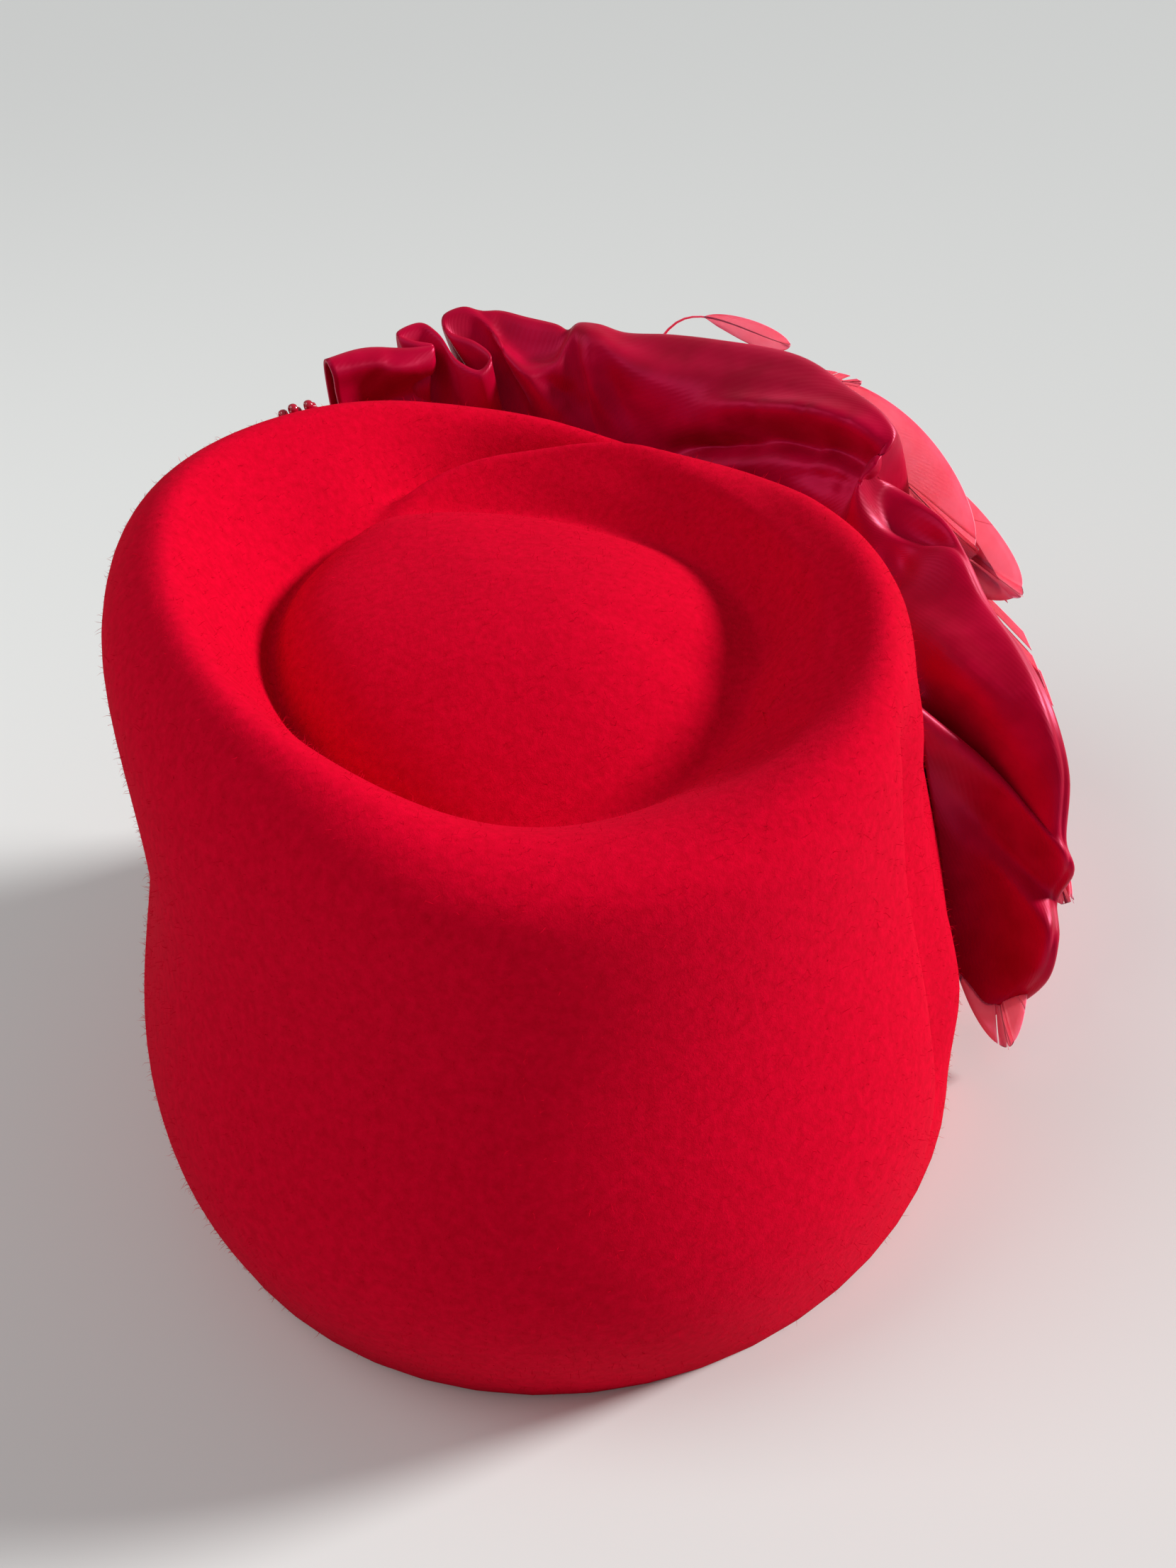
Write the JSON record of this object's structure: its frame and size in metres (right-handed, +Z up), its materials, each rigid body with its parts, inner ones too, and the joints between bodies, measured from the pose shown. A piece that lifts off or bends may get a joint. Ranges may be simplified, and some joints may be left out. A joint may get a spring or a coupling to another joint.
{
  "type": "pillbox hat",
  "caption": "Blocked felt pillbox hat with a rolled rim, a sunken swirl tip, a gathered satin drape at the front and right, and feathers swept back over it.",
  "frame": {"origin": "on the ground under the middle of the hat's bounding box", "axes": "+Z up from the cut edge that the hat stands on, -Y to the front of the hat, +X to the wearer's left"},
  "size_m": [0.1978, 0.2232, 0.1329],
  "materials": {
    "wool_felt": "fuzzy red wool felt",
    "satin": "glossy dark red satin",
    "dyed_feather": "pink-red dyed feather with a soft sheen"
  },
  "bodies": {
    "root": {"felt_crown": "wool_felt", "satin_drape": "satin", "feather_spray": "dyed_feather"}
  },
  "joints": []
}
